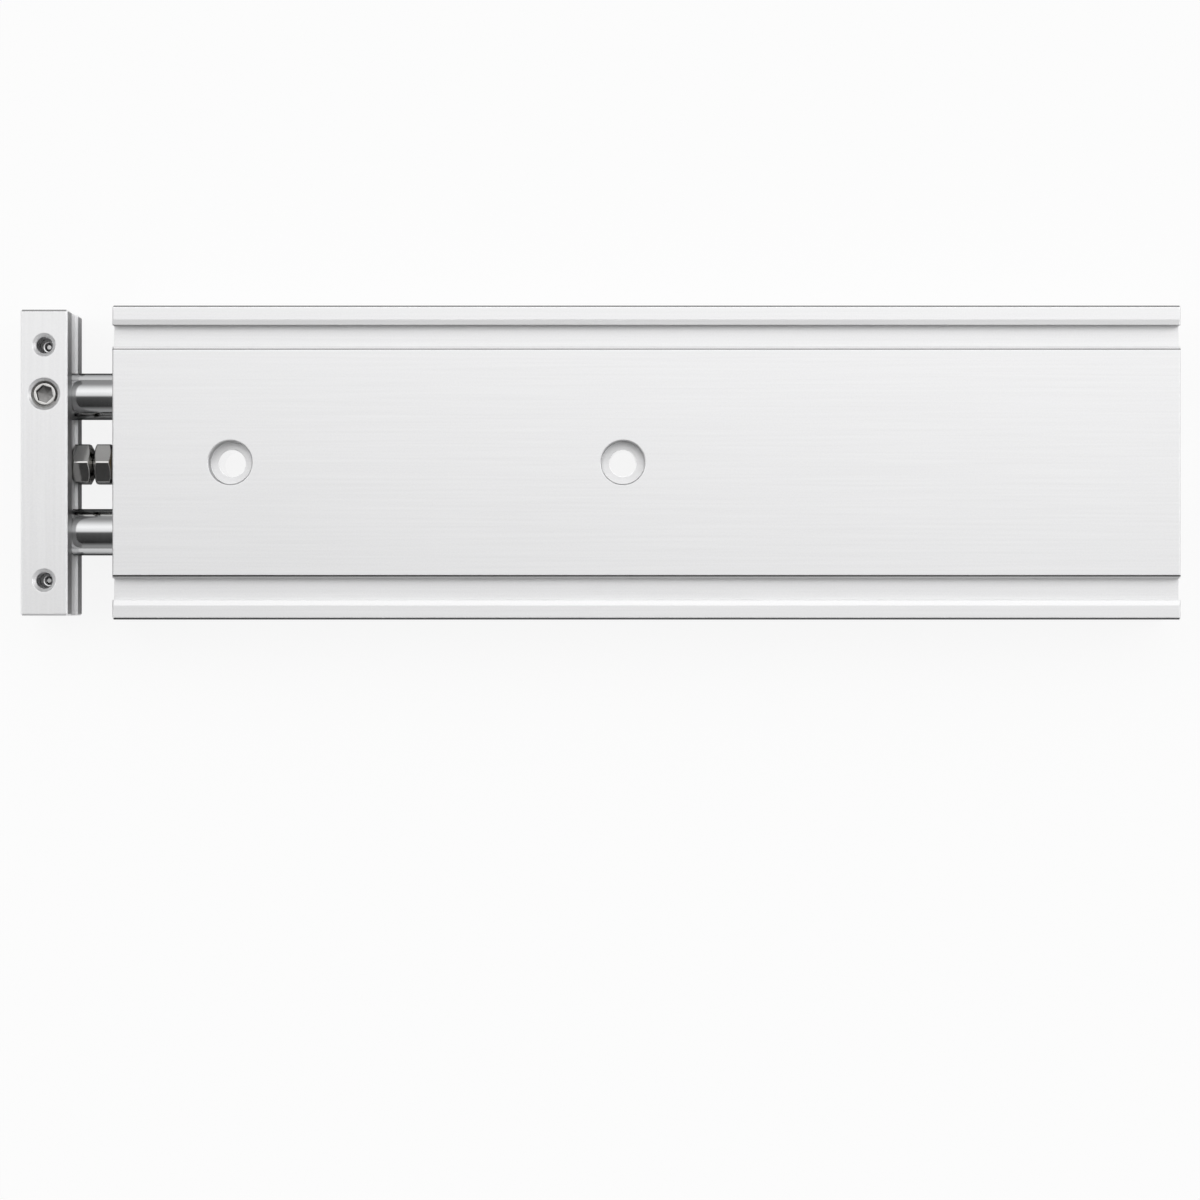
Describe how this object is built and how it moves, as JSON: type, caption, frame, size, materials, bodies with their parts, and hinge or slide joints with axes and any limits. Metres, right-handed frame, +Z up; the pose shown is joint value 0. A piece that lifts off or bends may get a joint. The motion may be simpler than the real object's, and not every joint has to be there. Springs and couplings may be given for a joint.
{
  "type": "twin rod pneumatic cylinder",
  "caption": "Flat twin rod pneumatic cylinder: grooved aluminium housing, paired chromed rods tied by an end plate, adjustable bumper bolt, through-bolt mounting.",
  "frame": {"origin": "on the underside mounting face, on the centre line, midway between the two mounting holes", "axes": "+X the way the rods extend, towards the end plate; +Z up, out of the face with the sensor grooves; +Y to the side with the open air ports"},
  "size_m": [0.2955, 0.08, 0.03],
  "materials": {
    "anodised_aluminium": "satin clear anodised, fine lines along the extrusion",
    "turned_aluminium": "turned, clear anodised",
    "chromed_rod": "ground and hard chromed",
    "plated_steel": "bright nickel plated",
    "dark_steel": "phosphated spring steel",
    "nitrile": "moulded black nitrile",
    "urethane": "cast amber urethane",
    "magnet": "bonded magnet, dark grey"
  },
  "bodies": {
    "cylinder": {"housing": "anodised_aluminium", "port_plugs": "plated_steel", "stop_bumper": "urethane", "rod_cover_a": "turned_aluminium", "rod_cover_b": "turned_aluminium", "rod_cover_o_ring_a": "nitrile", "rod_cover_o_ring_b": "nitrile", "rod_seal_a": "nitrile", "rod_seal_b": "nitrile", "rod_end_bumper_a": "urethane", "rod_end_bumper_b": "urethane", "front_retaining_ring_a": "dark_steel", "front_retaining_ring_b": "dark_steel", "head_cover_a": "turned_aluminium", "head_cover_b": "turned_aluminium", "head_cover_o_ring_a": "nitrile", "head_cover_o_ring_b": "nitrile", "head_end_bumper_a": "urethane", "head_end_bumper_b": "urethane", "rear_retaining_ring_a": "dark_steel", "rear_retaining_ring_b": "dark_steel"},
    "carriage": {"end_plate": "anodised_aluminium", "piston_rod_a": "chromed_rod", "piston_rod_b": "chromed_rod", "rod_cap_screw_a": "plated_steel", "rod_set_screw_b": "plated_steel", "lock_nut": "plated_steel", "piston_a": "turned_aluminium", "piston_b": "turned_aluminium", "piston_seal_a": "nitrile", "piston_seal_b": "nitrile", "piston_magnet_a": "magnet", "piston_magnet_b": "magnet", "magnet_holder_a": "turned_aluminium", "magnet_holder_b": "turned_aluminium", "piston_nut_a": "plated_steel", "piston_nut_b": "plated_steel"},
    "stroke_adjuster": {"bumper_bolt": "plated_steel"}
  },
  "joints": [
    {"name": "carriage_slide", "type": "slide", "parent": "cylinder", "child": "carriage", "axis": [1, 0, 0], "range_m": [0, 0.2]},
    {"name": "bumper_bolt_adjust", "type": "slide", "parent": "carriage", "child": "stroke_adjuster", "axis": [-1, 0, 0], "range_m": [-0.0003, 0.001]}
  ]
}
